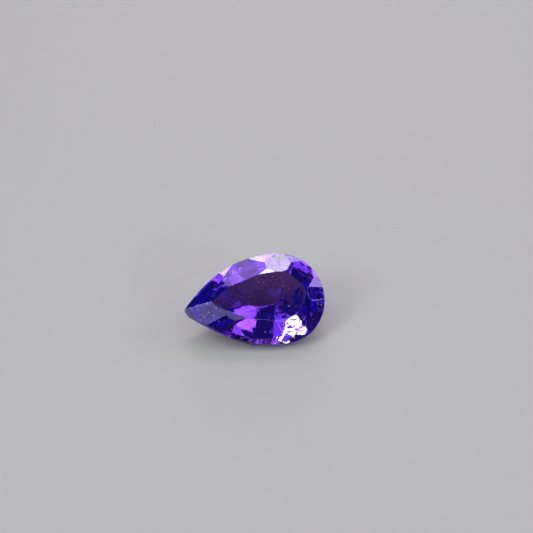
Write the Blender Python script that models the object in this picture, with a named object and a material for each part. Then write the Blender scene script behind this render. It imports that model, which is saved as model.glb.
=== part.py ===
# A cut pear-shaped sapphire, lying on one facet of its pavilion as a loose stone does.
#
# The stone is ground from a block, facet by facet. Its own frame has the point of the pear
# at +X, the table at +Z and the middle of the girdle at Z = 0, all in millimetres. Azimuths
# are in degrees from the point, and tilts are from the plane of the girdle.

import math

import bmesh
import bpy
from mathutils import Matrix, Vector

MM = 0.001

# Girdle outline: half an ellipse for the head, and two curved flanks that meet at the point.
WIDTH = 5.00
HEAD_LENGTH = 2.31
POINT_LENGTH = 4.92
FLANK_POWER = 2.3
FLANK_FLATS = 12
HEAD_FLATS = 14

# Heights of the layers, from the girdle outwards.
GIRDLE_HEIGHT = 0.06
CROWN_HEIGHT = 0.65
UPPER_STEP_DEPTH = 0.25
MIDDLE_STEP_DEPTH = 0.70

# Crown bezels are (azimuth, tilt) from the point to the head. The two sides of the stone
# differ a little, as they do on a stone that is cut by eye.
FRONT = {
    "bezels": ((43.5, 33.0), (77.5, 30.5), (112.0, 30.5), (138.0, 30.5)),
    "half_extra_tilt": 5.0,
    "star_tilt": 14.5,
    "columns": (59.5, 85.5, 113.0, 144.5),
    "lower_step_tilt": 36.0,
}
BACK = {
    "bezels": ((46.0, 33.5), (73.5, 27.0), (99.5, 27.0), (139.5, 27.0)),
    "half_extra_tilt": 4.0,
    "star_tilt": 17.5,
    "columns": (49.5, 81.5, 104.5, 136.0),
    "lower_step_tilt": 38.5,
}
HEAD_BEZEL_TILT = 35.0
HALF_SHARE = 0.32
STAR_INSET = 0.01
UPPER_STEP_TILT = 55.0
MIDDLE_STEP_TILT = 47.0
HEAD_LOWER_STEP_TILT = 36.0

# The stone lies on the lower step of the front's second column, turned this far round.
REST_AZIMUTH = FRONT["columns"][1]
TURN = 5.0

VIOLET = (0.16, 0.06, 0.55, 1.0)


def clear_scene():
    for obj in list(bpy.data.objects):
        bpy.data.objects.remove(obj)


def sin(degrees):
    return math.sin(math.radians(degrees))


def cos(degrees):
    return math.cos(math.radians(degrees))


def tan(degrees):
    return math.tan(math.radians(degrees))


def support(azimuth):
    """Distance from the stone's axis to the outline's tangent that faces this azimuth."""
    azimuth = abs(azimuth)
    if azimuth >= 90:
        return math.hypot(HEAD_LENGTH * cos(azimuth), WIDTH / 2 * sin(azimuth))
    steepest = FLANK_POWER * WIDTH / 2 / POINT_LENGTH
    share = min(1 / tan(azimuth) / steepest, 1.0) ** (1 / (FLANK_POWER - 1))
    half_width = WIDTH / 2 * (1 - share**FLANK_POWER)
    return POINT_LENGTH * share * cos(azimuth) + half_width * sin(azimuth)


def facet_normal(azimuth, tilt, facing):
    """Outward normal of a crown facet (facing 1) or of a pavilion facet (facing -1)."""
    return Vector((sin(tilt) * cos(azimuth), sin(tilt) * sin(azimuth), facing * cos(tilt)))


def grind(stone, normal, distance):
    """Take off all that lies beyond a plane, and close the stone with one flat facet."""
    cut = bmesh.ops.bisect_plane(
        stone,
        geom=stone.verts[:] + stone.edges[:] + stone.faces[:],
        dist=1e-4,
        plane_co=normal * distance,
        plane_no=normal,
        clear_outer=True,
    )
    rim = [item for item in cut["geom_cut"] if isinstance(item, bmesh.types.BMEdge)]
    bmesh.ops.holes_fill(stone, edges=[edge for edge in rim if edge.is_boundary])


def grind_facet(stone, azimuth, tilt, facing, height, inset=0.0):
    """Grind the facet that passes `inset` inside the outline, `height` above or below the middle."""
    reach = (support(azimuth) - inset) * sin(tilt) + height * cos(tilt)
    grind(stone, facet_normal(azimuth, tilt, facing), reach)


def grind_girdle(stone):
    point_azimuth = math.degrees(math.atan(POINT_LENGTH / (FLANK_POWER * WIDTH / 2)))
    step = (90 - point_azimuth) / FLANK_FLATS
    azimuths = [point_azimuth + step * (i + 0.5) for i in range(FLANK_FLATS)]
    azimuths += [90 + 90 * (i + 0.5) / HEAD_FLATS for i in range(HEAD_FLATS)]
    for azimuth in azimuths:
        grind_facet(stone, azimuth, 90, 1, 0)
        grind_facet(stone, -azimuth, 90, 1, 0)


def grind_crown(stone, side, cuts):
    """The bezels of one side, the halves beside them at the girdle, and the stars at the table."""
    base = GIRDLE_HEIGHT / 2
    bezels = cuts["bezels"] + ((180, HEAD_BEZEL_TILT),)
    for azimuth, tilt in bezels:
        grind_facet(stone, side * azimuth, tilt, 1, base)
    for (start, start_tilt), (end, end_tilt) in zip(bezels, bezels[1:]):
        tilt = (start_tilt + end_tilt) / 2
        for share in (HALF_SHARE, 1 - HALF_SHARE):
            azimuth = side * (start + (end - start) * share)
            grind_facet(stone, azimuth, tilt + cuts["half_extra_tilt"], 1, base)
        inset = CROWN_HEIGHT / tan(tilt) + STAR_INSET
        azimuth = side * (start + end) / 2
        grind_facet(stone, azimuth, cuts["star_tilt"], 1, base + CROWN_HEIGHT, inset)


def grind_column(stone, azimuth, lower_tilt):
    """Three steps of the pavilion, one below the other, from the girdle to the keel."""
    middle_height = GIRDLE_HEIGHT / 2 + UPPER_STEP_DEPTH
    middle_inset = UPPER_STEP_DEPTH / tan(UPPER_STEP_TILT)
    lower_height = middle_height + MIDDLE_STEP_DEPTH
    lower_inset = middle_inset + MIDDLE_STEP_DEPTH / tan(MIDDLE_STEP_TILT)
    grind_facet(stone, azimuth, UPPER_STEP_TILT, -1, GIRDLE_HEIGHT / 2)
    grind_facet(stone, azimuth, MIDDLE_STEP_TILT, -1, middle_height, middle_inset)
    grind_facet(stone, azimuth, lower_tilt, -1, lower_height, lower_inset)


def cut_stone():
    stone = bmesh.new()
    bmesh.ops.create_cube(stone, size=4 * WIDTH)
    grind_girdle(stone)
    grind(stone, Vector((0, 0, 1)), GIRDLE_HEIGHT / 2 + CROWN_HEIGHT)
    for side, cuts in ((1, FRONT), (-1, BACK)):
        grind_crown(stone, side, cuts)
        for azimuth in cuts["columns"]:
            grind_column(stone, side * azimuth, cuts["lower_step_tilt"])
    grind_column(stone, 180, HEAD_LOWER_STEP_TILT)
    bmesh.ops.dissolve_degenerate(stone, edges=stone.edges[:], dist=1e-4)
    bmesh.ops.recalc_face_normals(stone, faces=stone.faces[:])
    return stone


def resting_turn():
    """Rotation that lays the resting facet face down, with the table leaning towards -Y."""
    down = facet_normal(REST_AZIMUTH, FRONT["lower_step_tilt"], -1)
    table = Vector((0, 0, 1))
    back = (table.dot(down) * down - table).normalized()
    right = back.cross(-down)
    return Matrix.Rotation(math.radians(TURN), 3, "Z") @ Matrix((right, back, -down))


def violet_crystal():
    material = bpy.data.materials.new("violet_crystal")
    material.use_nodes = True
    shader = material.node_tree.nodes["Principled BSDF"]
    shader.inputs["Base Color"].default_value = VIOLET
    shader.inputs["Roughness"].default_value = 0.03
    shader.inputs["Metallic"].default_value = 0.0
    shader.inputs["IOR"].default_value = 1.77
    return material


def build_sapphire():
    stone = cut_stone()
    bmesh.ops.scale(stone, vec=(MM, MM, MM), verts=stone.verts[:])
    mesh = bpy.data.meshes.new("sapphire")
    stone.to_mesh(mesh)
    stone.free()
    mesh.materials.append(violet_crystal())
    sapphire = bpy.data.objects.new("sapphire", mesh)
    turn = resting_turn()
    corners = [turn @ vertex.co for vertex in mesh.vertices]
    low = Vector(min(corner[axis] for corner in corners) for axis in range(3))
    high = Vector(max(corner[axis] for corner in corners) for axis in range(3))
    sapphire.rotation_euler = turn.to_euler()
    sapphire.location = (-(low.x + high.x) / 2, -(low.y + high.y) / 2, -low.z)
    collection = bpy.data.collections.new("lavender_sapphire")
    bpy.context.scene.collection.children.link(collection)
    collection.objects.link(sapphire)


clear_scene()
build_sapphire()
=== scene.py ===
import math
import random

import bmesh
import bpy
from mathutils import Matrix, Vector


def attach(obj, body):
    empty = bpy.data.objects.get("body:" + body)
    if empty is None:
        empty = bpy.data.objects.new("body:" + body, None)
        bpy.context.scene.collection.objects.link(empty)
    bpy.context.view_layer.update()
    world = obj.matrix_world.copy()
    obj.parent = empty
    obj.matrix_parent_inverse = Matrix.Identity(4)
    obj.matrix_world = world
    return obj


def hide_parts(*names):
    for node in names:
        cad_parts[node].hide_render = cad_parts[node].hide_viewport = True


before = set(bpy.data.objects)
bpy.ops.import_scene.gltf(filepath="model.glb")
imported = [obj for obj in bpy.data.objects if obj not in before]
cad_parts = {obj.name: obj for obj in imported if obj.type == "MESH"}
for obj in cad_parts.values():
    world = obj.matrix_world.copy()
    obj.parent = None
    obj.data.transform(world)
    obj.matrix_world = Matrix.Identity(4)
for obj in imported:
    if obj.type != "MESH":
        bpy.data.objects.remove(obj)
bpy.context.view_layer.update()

scene = bpy.context.scene
millimetre = 0.001


# Angles are in degrees throughout.
def sinOf(angle):
    return math.sin(math.radians(angle))


def cosOf(angle):
    return math.cos(math.radians(angle))


def tanOf(angle):
    return math.tan(math.radians(angle))


def finishPiece(shape, name, material):
    # shape is in millimetres and already where it belongs, so the object stays at the origin
    bmesh.ops.scale(shape, vec=(millimetre,) * 3, verts=shape.verts[:])
    mesh = bpy.data.meshes.new(name)
    shape.to_mesh(mesh)
    shape.free()
    mesh.materials.append(material)
    piece = bpy.data.objects.new(name, mesh)
    scene.collection.objects.link(piece)
    return piece


# The stone, ground facet by facet with the same planes as the solid. Its own frame has the
# point at +X, the table at +Z and the middle of the girdle at Z = 0. Sizes are in millimetres,
# azimuths are from the point and tilts are from the plane of the girdle.
stoneCut = {
    "block": 20.0,               # side of the rough cube
    "width": 5.00,
    "headLength": 2.31,
    "pointLength": 4.92,
    "flankPower": 2.3,
    "girdleHeight": 0.06,
    "crownHeight": 0.65,
    "upperStepDepth": 0.25,
    "middleStepDepth": 0.70,
    "upperStepTilt": 55.0,
    "middleStepTilt": 47.0,
    "headLowerStepTilt": 36.0,
    "headBezelTilt": 35.0,
    "halfShare": 0.32,
    "starInset": 0.01,
    "front": {
        "bezels": ((43.5, 33.0), (77.5, 30.5), (112.0, 30.5), (138.0, 30.5)),
        "halfExtraTilt": 5.0,
        "starTilt": 14.5,
        "columns": (59.5, 85.5, 113.0, 144.5),
        "lowerStepTilt": 36.0,
    },
    "back": {
        "bezels": ((46.0, 33.5), (73.5, 27.0), (99.5, 27.0), (139.5, 27.0)),
        "halfExtraTilt": 4.0,
        "starTilt": 17.5,
        "columns": (49.5, 81.5, 104.5, 136.0),
        "lowerStepTilt": 38.5,
    },
    "solidFlats": (12, 14),      # on each flank and on each half of the head, as the solid has them
    "girdleFlats": (24, 28),
    "sameCorner": 1e-4,          # corners nearer to each other than this are one
    "edgeWear": {"width": 0.010, "segments": 2, "weld": 0.008},
    "restingColumn": 1,          # it lies on the lower step of this front column
    "turn": 5.0,                 # about the upright axis, once it lies
}
headAzimuth = 180
upright = 90
crownward = 1
pavilionward = -1
tableHeight = stoneCut["girdleHeight"] / 2 + stoneCut["crownHeight"]


def outlineReach(azimuth):
    # distance from the axis to the outline's tangent that faces this azimuth
    cut = stoneCut
    azimuth = abs(azimuth)
    if azimuth >= 90:
        return math.hypot(cut["headLength"] * cosOf(azimuth), cut["width"] / 2 * sinOf(azimuth))
    steepest = cut["flankPower"] * cut["width"] / 2 / cut["pointLength"]
    share = min(1 / tanOf(azimuth) / steepest, 1.0) ** (1 / (cut["flankPower"] - 1))
    halfWidth = cut["width"] / 2 * (1 - share ** cut["flankPower"])
    return cut["pointLength"] * share * cosOf(azimuth) + halfWidth * sinOf(azimuth)


def facetNormal(azimuth, tilt, facing):
    flat = sinOf(tilt)
    return Vector((flat * cosOf(azimuth), flat * sinOf(azimuth), facing * cosOf(tilt)))


def grind(stone, normal, distance):
    # all beyond the plane comes off, and one flat facet closes the stone
    cut = bmesh.ops.bisect_plane(
        stone,
        geom=stone.verts[:] + stone.edges[:] + stone.faces[:],
        dist=stoneCut["sameCorner"],
        plane_co=normal * distance,
        plane_no=normal,
        clear_outer=True,
    )
    rim = [item for item in cut["geom_cut"] if isinstance(item, bmesh.types.BMEdge)]
    bmesh.ops.holes_fill(stone, edges=[edge for edge in rim if edge.is_boundary])


def grindFacet(stone, azimuth, tilt, facing, height, inset=0.0):
    reach = (outlineReach(azimuth) - inset) * sinOf(tilt) + height * cosOf(tilt)
    grind(stone, facetNormal(azimuth, tilt, facing), reach)


def grindGirdle(stone, flankFlats, headFlats):
    steepness = stoneCut["flankPower"] * stoneCut["width"] / 2
    pointAzimuth = math.degrees(math.atan(stoneCut["pointLength"] / steepness))
    step = (90 - pointAzimuth) / flankFlats
    azimuths = [pointAzimuth + step * (flat + 0.5) for flat in range(flankFlats)]
    azimuths += [90 + 90 * (flat + 0.5) / headFlats for flat in range(headFlats)]
    for azimuth in azimuths:
        grindFacet(stone, azimuth, upright, crownward, 0)
        grindFacet(stone, -azimuth, upright, crownward, 0)


def grindCrown(stone, side, cuts):
    # the bezels of one side, the halves beside them at the girdle, and the stars at the table
    base = stoneCut["girdleHeight"] / 2
    height = stoneCut["crownHeight"]
    bezels = cuts["bezels"] + ((headAzimuth, stoneCut["headBezelTilt"]),)
    for azimuth, tilt in bezels:
        grindFacet(stone, side * azimuth, tilt, crownward, base)
    for (start, startTilt), (end, endTilt) in zip(bezels, bezels[1:]):
        tilt = (startTilt + endTilt) / 2
        for share in (stoneCut["halfShare"], 1 - stoneCut["halfShare"]):
            azimuth = side * (start + (end - start) * share)
            grindFacet(stone, azimuth, tilt + cuts["halfExtraTilt"], crownward, base)
        inset = height / tanOf(tilt) + stoneCut["starInset"]
        azimuth = side * (start + end) / 2
        grindFacet(stone, azimuth, cuts["starTilt"], crownward, tableHeight, inset)


def grindColumn(stone, azimuth, lowerTilt):
    # three steps of the pavilion, one below the other, from the girdle to the keel
    cut = stoneCut
    base = cut["girdleHeight"] / 2
    middleHeight = base + cut["upperStepDepth"]
    middleInset = cut["upperStepDepth"] / tanOf(cut["upperStepTilt"])
    lowerHeight = middleHeight + cut["middleStepDepth"]
    lowerInset = middleInset + cut["middleStepDepth"] / tanOf(cut["middleStepTilt"])
    grindFacet(stone, azimuth, cut["upperStepTilt"], pavilionward, base)
    grindFacet(stone, azimuth, cut["middleStepTilt"], pavilionward, middleHeight, middleInset)
    grindFacet(stone, azimuth, lowerTilt, pavilionward, lowerHeight, lowerInset)


def cutStone(flats):
    stone = bmesh.new()
    bmesh.ops.create_cube(stone, size=stoneCut["block"])
    grindGirdle(stone, *flats)
    grind(stone, Vector((0, 0, 1)), tableHeight)
    for side, cuts in ((1, stoneCut["front"]), (-1, stoneCut["back"])):
        grindCrown(stone, side, cuts)
        for azimuth in cuts["columns"]:
            grindColumn(stone, side * azimuth, cuts["lowerStepTilt"])
    grindColumn(stone, headAzimuth, stoneCut["headLowerStepTilt"])
    bmesh.ops.dissolve_degenerate(stone, edges=stone.edges[:], dist=stoneCut["sameCorner"])
    bmesh.ops.recalc_face_normals(stone, faces=stone.faces[:])
    return stone


def restingTurn():
    # lays the resting facet face down, with the table leaning towards the camera
    front = stoneCut["front"]
    column = front["columns"][stoneCut["restingColumn"]]
    down = facetNormal(column, front["lowerStepTilt"], pavilionward)
    table = Vector((0, 0, 1))
    back = (table.dot(down) * down - table).normalized()
    right = back.cross(-down)
    turn = Matrix.Rotation(math.radians(stoneCut["turn"]), 3, "Z")
    return turn @ Matrix((right, back, -down))


def restingPlace():
    # from the stone's own frame to where the solid lies, in millimetres
    turn = restingTurn()
    stone = cutStone(stoneCut["solidFlats"])
    corners = [turn @ vert.co for vert in stone.verts]
    stone.free()
    low = Vector(min(corner[axis] for corner in corners) for axis in range(3))
    high = Vector(max(corner[axis] for corner in corners) for axis in range(3))
    shift = Vector((-(low.x + high.x) / 2, -(low.y + high.y) / 2, -low.z))
    return Matrix.Translation(shift) @ turn.to_4x4()


stonePlace = restingPlace()
stoneCentre = stonePlace.to_translation() * millimetre
stoneTurn = stonePlace.to_euler()


# The crystal: clear violet with faint growth zones, polished facets that are not quite flat,
# and a ground girdle. Its pattern is laid out in the stone's own frame, in millimetres.
crystal = {
    "refraction": 1.77,
    "passed": (0.58, 0.26, 0.92, 1.0),
    "density": 650.0,               # per metre, of light that isn't passed
    "clear": (0.97, 0.95, 1.0, 1.0),
    "zone": (0.84, 0.80, 1.0, 1.0),
    "zoneScale": 0.9,
    "zoneDistortion": 5.0,
    "zoneDetail": 3.0,
    # painted shade: a near-black base colour for the lower half of the stone, which darkens the view down
    # through the table
    "paintedShade": (0.08, 0.03, 0.07, 1.0),
    "paintedShadeFrom": -0.20,
    "paintedShadeTo": -0.45,
    "girdleRoughness": 0.38,
    "polishedFrom": 0.62,           # distances from the girdle's middle, in girdle heights
    "groundTo": 0.48,
    "polish": 0.004,
    "haze": 0.05,
    "smearScale": 2.6,
    "smearDetail": 6.0,
    "smearFrom": 0.55,
    "smearTo": 0.80,
    "waviness": 3.0,                # per millimetre
    "wavinessHeight": 0.005,
    "wavinessDetail": 1.6,
    "flatTable": 0.12,              # share of the waviness that the table keeps
    "flatFrom": 0.06,               # depths below the table
    "flatTo": 0.01,
    "polishLines": 14.0,
    "polishLinesDistortion": 2.0,
    "polishLinesHeight": 0.00002,
}


def addNode(tree, kind, place, **settings):
    node = tree.nodes.new(kind)
    node.location = place
    for name, value in settings.items():
        setattr(node, name, value)
    return node


def makeCrystal():
    material = bpy.data.materials.new("violetCrystal")
    material.use_nodes = True
    tree = material.node_tree
    link = tree.links.new
    shader = tree.nodes["Principled BSDF"]
    shader.inputs["IOR"].default_value = crystal["refraction"]
    shader.inputs["Transmission Weight"].default_value = 1.0
    absorption = addNode(tree, "ShaderNodeVolumeAbsorption", (20, -420))
    absorption.inputs["Color"].default_value = crystal["passed"]
    absorption.inputs["Density"].default_value = crystal["density"]
    link(absorption.outputs["Volume"], tree.nodes["Material Output"].inputs["Volume"])

    # object coordinates turned back into the stone's own frame
    place = addNode(tree, "ShaderNodeTexCoord", (-1500, 0))
    toStone = addNode(tree, "ShaderNodeMapping", (-1300, 0), vector_type="TEXTURE")
    toStone.inputs["Location"].default_value = stoneCentre
    toStone.inputs["Rotation"].default_value = stoneTurn
    toStone.inputs["Scale"].default_value = (millimetre,) * 3
    link(place.outputs["Object"], toStone.inputs["Vector"])
    inStone = toStone.outputs["Vector"]
    axes = addNode(tree, "ShaderNodeSeparateXYZ", (-1100, 0))
    link(inStone, axes.inputs["Vector"])
    height = axes.outputs["Z"]

    # growth zones, straight bands with soft clouds in them
    zones = addNode(tree, "ShaderNodeTexWave", (-900, 300), bands_direction="DIAGONAL")
    zones.inputs["Scale"].default_value = crystal["zoneScale"]
    zones.inputs["Distortion"].default_value = crystal["zoneDistortion"]
    zones.inputs["Detail"].default_value = crystal["zoneDetail"]
    link(inStone, zones.inputs["Vector"])
    tint = addNode(tree, "ShaderNodeMix", (-600, 300), data_type="RGBA")
    tint.inputs["A"].default_value = crystal["clear"]
    tint.inputs["B"].default_value = crystal["zone"]
    link(zones.outputs["Fac"], tint.inputs["Factor"])

    # painted shade: the base colour turns almost black in the lower half of the stone, so the view down
    # through the table comes out dark
    paintedShadeMask = addNode(tree, "ShaderNodeMapRange", (-700, 520))
    paintedShadeMask.inputs["From Min"].default_value = crystal["paintedShadeFrom"]
    paintedShadeMask.inputs["From Max"].default_value = crystal["paintedShadeTo"]
    link(height, paintedShadeMask.inputs["Value"])
    paintedShadeMix = addNode(tree, "ShaderNodeMix", (-400, 400), data_type="RGBA")
    paintedShadeMix.inputs["B"].default_value = crystal["paintedShade"]
    link(paintedShadeMask.outputs["Result"], paintedShadeMix.inputs["Factor"])
    link(tint.outputs["Result"], paintedShadeMix.inputs["A"])
    link(paintedShadeMix.outputs["Result"], shader.inputs["Base Color"])

    # the ground girdle is a thin slice of the stone about its widest plane
    fromMiddle = addNode(tree, "ShaderNodeMath", (-880, -120), operation="ABSOLUTE")
    link(height, fromMiddle.inputs[0])
    ground = addNode(tree, "ShaderNodeMapRange", (-700, -120))
    ground.inputs["From Min"].default_value = stoneCut["girdleHeight"] * crystal["polishedFrom"]
    ground.inputs["From Max"].default_value = stoneCut["girdleHeight"] * crystal["groundTo"]
    ground.inputs["To Max"].default_value = crystal["girdleRoughness"]
    link(fromMiddle.outputs["Value"], ground.inputs["Value"])
    smears = addNode(tree, "ShaderNodeTexNoise", (-900, 60))
    smears.inputs["Scale"].default_value = crystal["smearScale"]
    smears.inputs["Detail"].default_value = crystal["smearDetail"]
    link(inStone, smears.inputs["Vector"])
    haze = addNode(tree, "ShaderNodeMapRange", (-700, 60))
    haze.inputs["From Min"].default_value = crystal["smearFrom"]
    haze.inputs["From Max"].default_value = crystal["smearTo"]
    haze.inputs["To Min"].default_value = crystal["polish"]
    haze.inputs["To Max"].default_value = crystal["haze"]
    link(smears.outputs["Fac"], haze.inputs["Value"])
    finish = addNode(tree, "ShaderNodeMath", (-500, 0), operation="MAXIMUM")
    link(ground.outputs["Result"], finish.inputs[0])
    link(haze.outputs["Result"], finish.inputs[1])
    link(finish.outputs["Value"], shader.inputs["Roughness"])

    # facets cut by eye are a little wavy, the table less so, and carry fine polishing lines
    waves = addNode(tree, "ShaderNodeTexNoise", (-900, -320))
    waves.inputs["Scale"].default_value = crystal["waviness"]
    waves.inputs["Detail"].default_value = crystal["wavinessDetail"]
    link(inStone, waves.inputs["Vector"])
    nearTable = addNode(tree, "ShaderNodeMapRange", (-700, -220))
    nearTable.inputs["From Min"].default_value = tableHeight - crystal["flatFrom"]
    nearTable.inputs["From Max"].default_value = tableHeight - crystal["flatTo"]
    nearTable.inputs["To Min"].default_value = 1.0
    nearTable.inputs["To Max"].default_value = crystal["flatTable"]
    link(height, nearTable.inputs["Value"])
    wavy = addNode(tree, "ShaderNodeBump", (-500, -320))
    link(nearTable.outputs["Result"], wavy.inputs["Strength"])
    wavy.inputs["Distance"].default_value = crystal["wavinessHeight"] * millimetre
    link(waves.outputs["Fac"], wavy.inputs["Height"])
    lines = addNode(tree, "ShaderNodeTexWave", (-900, -520), bands_direction="X")
    lines.inputs["Scale"].default_value = crystal["polishLines"]
    lines.inputs["Distortion"].default_value = crystal["polishLinesDistortion"]
    link(inStone, lines.inputs["Vector"])
    lined = addNode(tree, "ShaderNodeBump", (-300, -420))
    lined.inputs["Strength"].default_value = 1.0
    lined.inputs["Distance"].default_value = crystal["polishLinesHeight"] * millimetre
    link(lines.outputs["Fac"], lined.inputs["Height"])
    link(wavy.outputs["Normal"], lined.inputs["Normal"])
    link(lined.outputs["Normal"], shader.inputs["Normal"])
    return material


def makeStone():
    stone = cutStone(stoneCut["girdleFlats"])
    wear = stoneCut["edgeWear"]
    bmesh.ops.remove_doubles(stone, verts=stone.verts[:], dist=wear["weld"])
    bmesh.ops.bevel(
        stone,
        geom=stone.verts[:] + stone.edges[:],
        offset=wear["width"],
        offset_type="OFFSET",
        segments=wear["segments"],
        profile=0.5,
        affect="EDGES",
        clamp_overlap=False,
        material=-1,
    )
    bmesh.ops.triangulate(stone, faces=stone.faces[:])
    bmesh.ops.recalc_face_normals(stone, faces=stone.faces[:])
    bmesh.ops.transform(stone, matrix=stonePlace, verts=stone.verts[:])
    piece = finishPiece(stone, "cutSapphire", makeCrystal())
    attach(piece, "root")
    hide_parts("sapphire")
    return piece


cutSapphire = makeStone()
print("sapphire: stone cut,", len(cutSapphire.data.polygons), "triangles")


# A speck is a tiny ball, drawn out, flattened and turned at random. Places are in the stone's
# own frame, in millimetres.
speck = {
    "turn": 6.28,              # up to a full turn, in radians
    "length": (0.7, 1.5),
    "thickness": (0.6, 1.0),
    "roughness": 0.7,
    "grain": 30000.0,          # per metre
    "shade": 0.6,              # the dark side of the grain, as a share of its colour
}


def makeSpeckMaterial(name, colour):
    material = bpy.data.materials.new(name)
    material.use_nodes = True
    tree = material.node_tree
    shader = tree.nodes["Principled BSDF"]
    shader.inputs["Roughness"].default_value = speck["roughness"]
    place = addNode(tree, "ShaderNodeTexCoord", (-800, 0))
    grain = addNode(tree, "ShaderNodeTexNoise", (-600, 0))
    grain.inputs["Scale"].default_value = speck["grain"]
    shade = addNode(tree, "ShaderNodeMix", (-300, 0), data_type="RGBA")
    shade.inputs["A"].default_value = colour
    shade.inputs["B"].default_value = [part * speck["shade"] for part in colour[:3]] + [1.0]
    tree.links.new(place.outputs["Object"], grain.inputs["Vector"])
    tree.links.new(grain.outputs["Fac"], shade.inputs["Factor"])
    tree.links.new(shade.outputs["Result"], shader.inputs["Base Color"])
    return material


def addSpeck(shape, place, radius, draw):
    turn = Matrix.Rotation(draw.uniform(0, speck["turn"]), 4, draw.choice("XYZ"))
    length = draw.uniform(*speck["length"])
    thickness = draw.uniform(*speck["thickness"])
    squash = Matrix.Diagonal((length, 1.0, thickness, 1.0))
    matrix = stonePlace @ Matrix.Translation(place) @ turn @ squash
    bmesh.ops.create_icosphere(shape, subdivisions=1, radius=radius, matrix=matrix)


def speckRadius(limits, draw):
    # most specks are near the small end
    small, large = limits
    return small + (large - small) * draw.random() ** 2


# Pinpoint crystals that float in a loose cloud under the table.
pinpoints = {
    "count": 46,
    "middle": (0.55, -0.75, 0.40),
    "spread": (0.42, 0.34, 0.17),
    "highest": 0.60,
    "radius": (0.011, 0.028),
    "colour": (0.97, 0.95, 1.0, 1.0),
    "seed": 4,
}


def makePinpoints():
    draw = random.Random(pinpoints["seed"])
    cloud = list(zip(pinpoints["middle"], pinpoints["spread"]))
    shape = bmesh.new()
    for _ in range(pinpoints["count"]):
        place = Vector(draw.gauss(middle, spread) for middle, spread in cloud)
        place.z = min(place.z, pinpoints["highest"])
        addSpeck(shape, place, speckRadius(pinpoints["radius"], draw), draw)
    material = makeSpeckMaterial("palePinpoint", pinpoints["colour"])
    piece = finishPiece(shape, "pinpointInclusions", material)
    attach(piece, "root")


makePinpoints()
print("sapphire: pinpoint crystals scattered,", pinpoints["count"])


# Dust that lies on the crown, most of it on the front bezel at the point.
dust = {
    "count": 90,
    "radius": (0.010, 0.031),
    "raised": 0.4,             # in radii above the facet
    "tipShare": 0.72,
    "tipBezel": 0,
    "likeBezel": 0.999,        # cosine between a face of that bezel and its plane, at least
    "crownSlope": 0.3,         # upward part of the direction of a crown facet, at least
    "colour": (0.74, 0.70, 0.82, 1.0),
    "seed": 9,
}


def makeDust():
    draw = random.Random(dust["seed"])
    stone = cutStone(stoneCut["solidFlats"])
    bmesh.ops.triangulate(stone, faces=stone.faces[:])
    crown = [face for face in stone.faces if face.normal.z > dust["crownSlope"]]
    bezelAzimuth, bezelTilt = stoneCut["front"]["bezels"][dust["tipBezel"]]
    bezel = facetNormal(bezelAzimuth, bezelTilt, crownward)
    tip = [face for face in crown if face.normal.dot(bezel) > dust["likeBezel"]]
    shape = bmesh.new()
    for _ in range(dust["count"]):
        faces = tip if draw.random() < dust["tipShare"] else crown
        face = draw.choices(faces, [face.calc_area() for face in faces])[0]
        first, second = sorted((draw.random(), draw.random()))
        shares = (first, second - first, 1 - second)
        place = sum((vert.co * share for vert, share in zip(face.verts, shares)), Vector())
        radius = speckRadius(dust["radius"], draw)
        addSpeck(shape, place + face.normal * radius * dust["raised"], radius, draw)
    stone.free()
    piece = finishPiece(shape, "dustSpecks", makeSpeckMaterial("paleDust", dust["colour"]))
    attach(piece, "root")


makeDust()
print("sapphire: dust scattered,", dust["count"])


# A pale table top.
tableTop = {"reach": 600.0, "colour": (0.47, 0.50, 0.43, 1.0), "roughness": 0.6}


def makeTableTop():
    material = bpy.data.materials.new("paleTableTop")
    material.use_nodes = True
    shader = material.node_tree.nodes["Principled BSDF"]
    shader.inputs["Base Color"].default_value = tableTop["colour"]
    shader.inputs["Roughness"].default_value = tableTop["roughness"]
    shape = bmesh.new()
    bmesh.ops.create_grid(shape, x_segments=1, y_segments=1, size=tableTop["reach"])
    top = finishPiece(shape, "paleTableTop", material)


makeTableTop()


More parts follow.
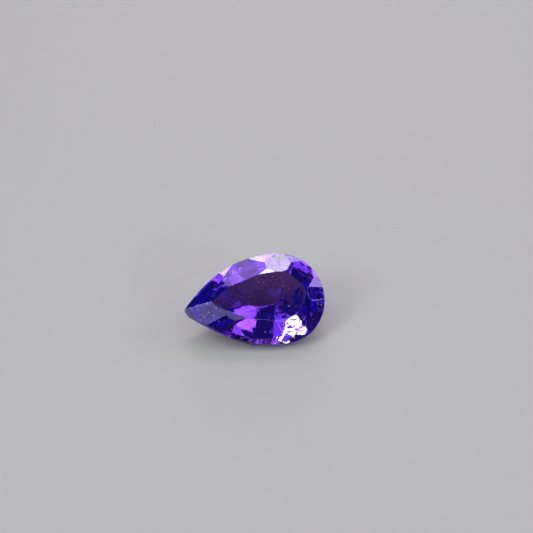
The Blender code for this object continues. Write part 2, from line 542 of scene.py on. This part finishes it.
# Softboxes are discs that face the stone from all round and above. Azimuth 0 is the camera's
# side and 90 is the right of the picture. spread is the half angle that a disc fills, in degrees.
# Each facet mirrors one of them, or the dim room between them.
studio = {
    "distance": 150.0,         # millimetres
    "room": (0.035, 0.032, 0.145, 1.0),
    "tints": {
        "white": (1.0, 1.0, 0.88),
        "lavender": (0.80, 0.66, 1.0),
        "violet": (0.60, 0.38, 1.0),
        "pink": (1.0, 0.72, 0.90),
        "blue": (0.52, 0.43, 1.0),
    },
    "softboxes": {
        "frontHigh": {"azimuth": 0, "elevation": 50, "spread": 20, "radiance": 1.2, "tint": "lavender"},
        "frontRight": {"azimuth": 37, "elevation": 20.5, "spread": 5, "radiance": 18.0},
        "frontRightSpark": {"azimuth": 12, "elevation": 5.8, "spread": 2, "radiance": 18.0},
        "frontRightHigh": {"azimuth": 40, "elevation": 55, "spread": 9, "radiance": 0.5},
        "right": {"azimuth": 75, "elevation": 35, "spread": 9, "radiance": 3.0},
        "rightBack": {"azimuth": 105, "elevation": 35, "spread": 9, "radiance": 2.4},
        "rightLow": {"azimuth": 97, "elevation": 28, "spread": 8, "radiance": 2.4},
        "rightLowest": {"azimuth": 106, "elevation": 18, "spread": 6, "radiance": 5.5, "tint": "lavender"},
        "rightRim": {"azimuth": 128, "elevation": 29, "spread": 7.5, "radiance": 5.5, "tint": "violet"},
        "rightHigh": {"azimuth": 86, "elevation": 48, "spread": 7, "radiance": 1.8},
        "topRight": {"azimuth": 87, "elevation": 75, "spread": 9, "radiance": 1.1},
        "topBack": {"azimuth": 183, "elevation": 69, "spread": 5, "radiance": 13.0},
        "backHigh": {"azimuth": 160, "elevation": 55, "spread": 9, "radiance": 1.3},
        "backRight": {"azimuth": 170, "elevation": 50, "spread": 7, "radiance": 4.0, "tint": "lavender"},
        "backFlash": {"azimuth": 186, "elevation": 42, "spread": 4, "radiance": 8.0, "tint": "lavender"},
        "backRim": {"azimuth": 160, "elevation": 39, "spread": 6, "radiance": 4.0, "tint": "lavender"},
        "backCorner": {"azimuth": 206, "elevation": 39, "spread": 4, "radiance": 7.0, "tint": "pink"},
        "backSpark": {"azimuth": 171, "elevation": 49, "spread": 2.5, "radiance": 2.9},
        "backRightLow": {"azimuth": 165, "elevation": 33, "spread": 6, "radiance": 0.6},
        "backLow": {"azimuth": 180, "elevation": 15, "spread": 9, "radiance": 3.0},
        "backLeftLow": {"azimuth": 195, "elevation": 35, "spread": 9, "radiance": 2.0},
        "backLeftHigh": {"azimuth": 191, "elevation": 50.5, "spread": 7, "radiance": 2.9, "tint": "violet"},
        "left": {"azimuth": 280, "elevation": 55, "spread": 9, "radiance": 2.2},
        "leftHigh": {"azimuth": 280, "elevation": 64, "spread": 12, "radiance": 1.7},
        "leftLow": {"azimuth": 300, "elevation": 15, "spread": 9, "radiance": 1.15},
        "topLeft": {"azimuth": 303, "elevation": 75, "spread": 9, "radiance": 1.3},
        "frontLeftKey": {"azimuth": 315, "elevation": 35, "spread": 9, "radiance": 9.0},
        "frontLeftHigh": {"azimuth": 320, "elevation": 55, "spread": 9, "radiance": 0.8},
        "frontLeft": {"azimuth": 332, "elevation": 32, "spread": 20, "radiance": 0.7, "tint": "blue"},
        "frontLeftCool": {"azimuth": 325, "elevation": 18, "spread": 7, "radiance": 1.2, "tint": "blue"},
    },
}


def makeSoftbox(name, box):
    distance = studio["distance"] * millimetre
    radius = distance * tanOf(box["spread"])
    lamp = bpy.data.lights.new(name, "AREA")
    lamp.shape = "DISK"
    lamp.size = 2 * radius
    lamp.color = studio["tints"][box.get("tint", "white")]
    area = math.pi * radius**2
    lamp.energy = box["radiance"] * math.pi * area    # a flat lamp spreads its power over pi
    level = cosOf(box["elevation"])
    sideways = sinOf(box["azimuth"]) * level
    backward = -cosOf(box["azimuth"]) * level
    outward = Vector((sideways, backward, sinOf(box["elevation"])))
    softbox = bpy.data.objects.new(name, lamp)
    softbox.location = stoneCentre + outward * distance
    softbox.rotation_euler = outward.to_track_quat("Z", "Y").to_euler()
    scene.collection.objects.link(softbox)


for name, box in studio["softboxes"].items():
    makeSoftbox(name, box)

world = bpy.data.worlds.new("studioRoom")
world.use_nodes = True
world.node_tree.nodes["Background"].inputs["Color"].default_value = studio["room"]
scene.world = world
print("sapphire: studio lit with", len(studio["softboxes"]), "softboxes")


# The camera looks down at the table of the stone, as the photograph does.
camera = {
    "elevation": 31.66,
    "lens": 300.0,
    "nearClip": 0.01,               # shares of the distance to the stone
    "farClip": 100.0,
    "imageSide": 533,
    "pixelsPerMillimetre": 19.52,
    "stonePixel": (279.6, 298.5),   # where the middle of the girdle falls in the image
}


def makeCamera():
    elevation = camera["elevation"]
    toCamera = Vector((0, -cosOf(elevation), sinOf(elevation)))
    upward = Vector((0, sinOf(elevation), cosOf(elevation)))
    middle = camera["imageSide"] / 2
    rightShift = (middle - camera["stonePixel"][0]) / camera["pixelsPerMillimetre"] * millimetre
    upShift = (camera["stonePixel"][1] - middle) / camera["pixelsPerMillimetre"] * millimetre
    lens = bpy.data.cameras.new("macroCamera")
    lens.lens = camera["lens"]
    viewWidth = camera["imageSide"] / camera["pixelsPerMillimetre"] * millimetre
    distance = viewWidth * camera["lens"] / lens.sensor_width
    lens.clip_start = distance * camera["nearClip"]
    lens.clip_end = distance * camera["farClip"]
    viewer = bpy.data.objects.new("macroCamera", lens)
    aim = stoneCentre + Vector((rightShift, 0, 0)) + upward * upShift
    viewer.location = aim + toCamera * distance
    viewer.rotation_euler = toCamera.to_track_quat("Z", "Y").to_euler()
    scene.collection.objects.link(viewer)
    scene.camera = viewer


makeCamera()

# Light is thrown back and forth inside a cut stone many times before it leaves it.
lightTurns = 24
scene.cycles.max_bounces = lightTurns
scene.cycles.transmission_bounces = lightTurns
scene.cycles.glossy_bounces = lightTurns
scene.view_settings.view_transform = "Standard"

print("sapphire: finished")
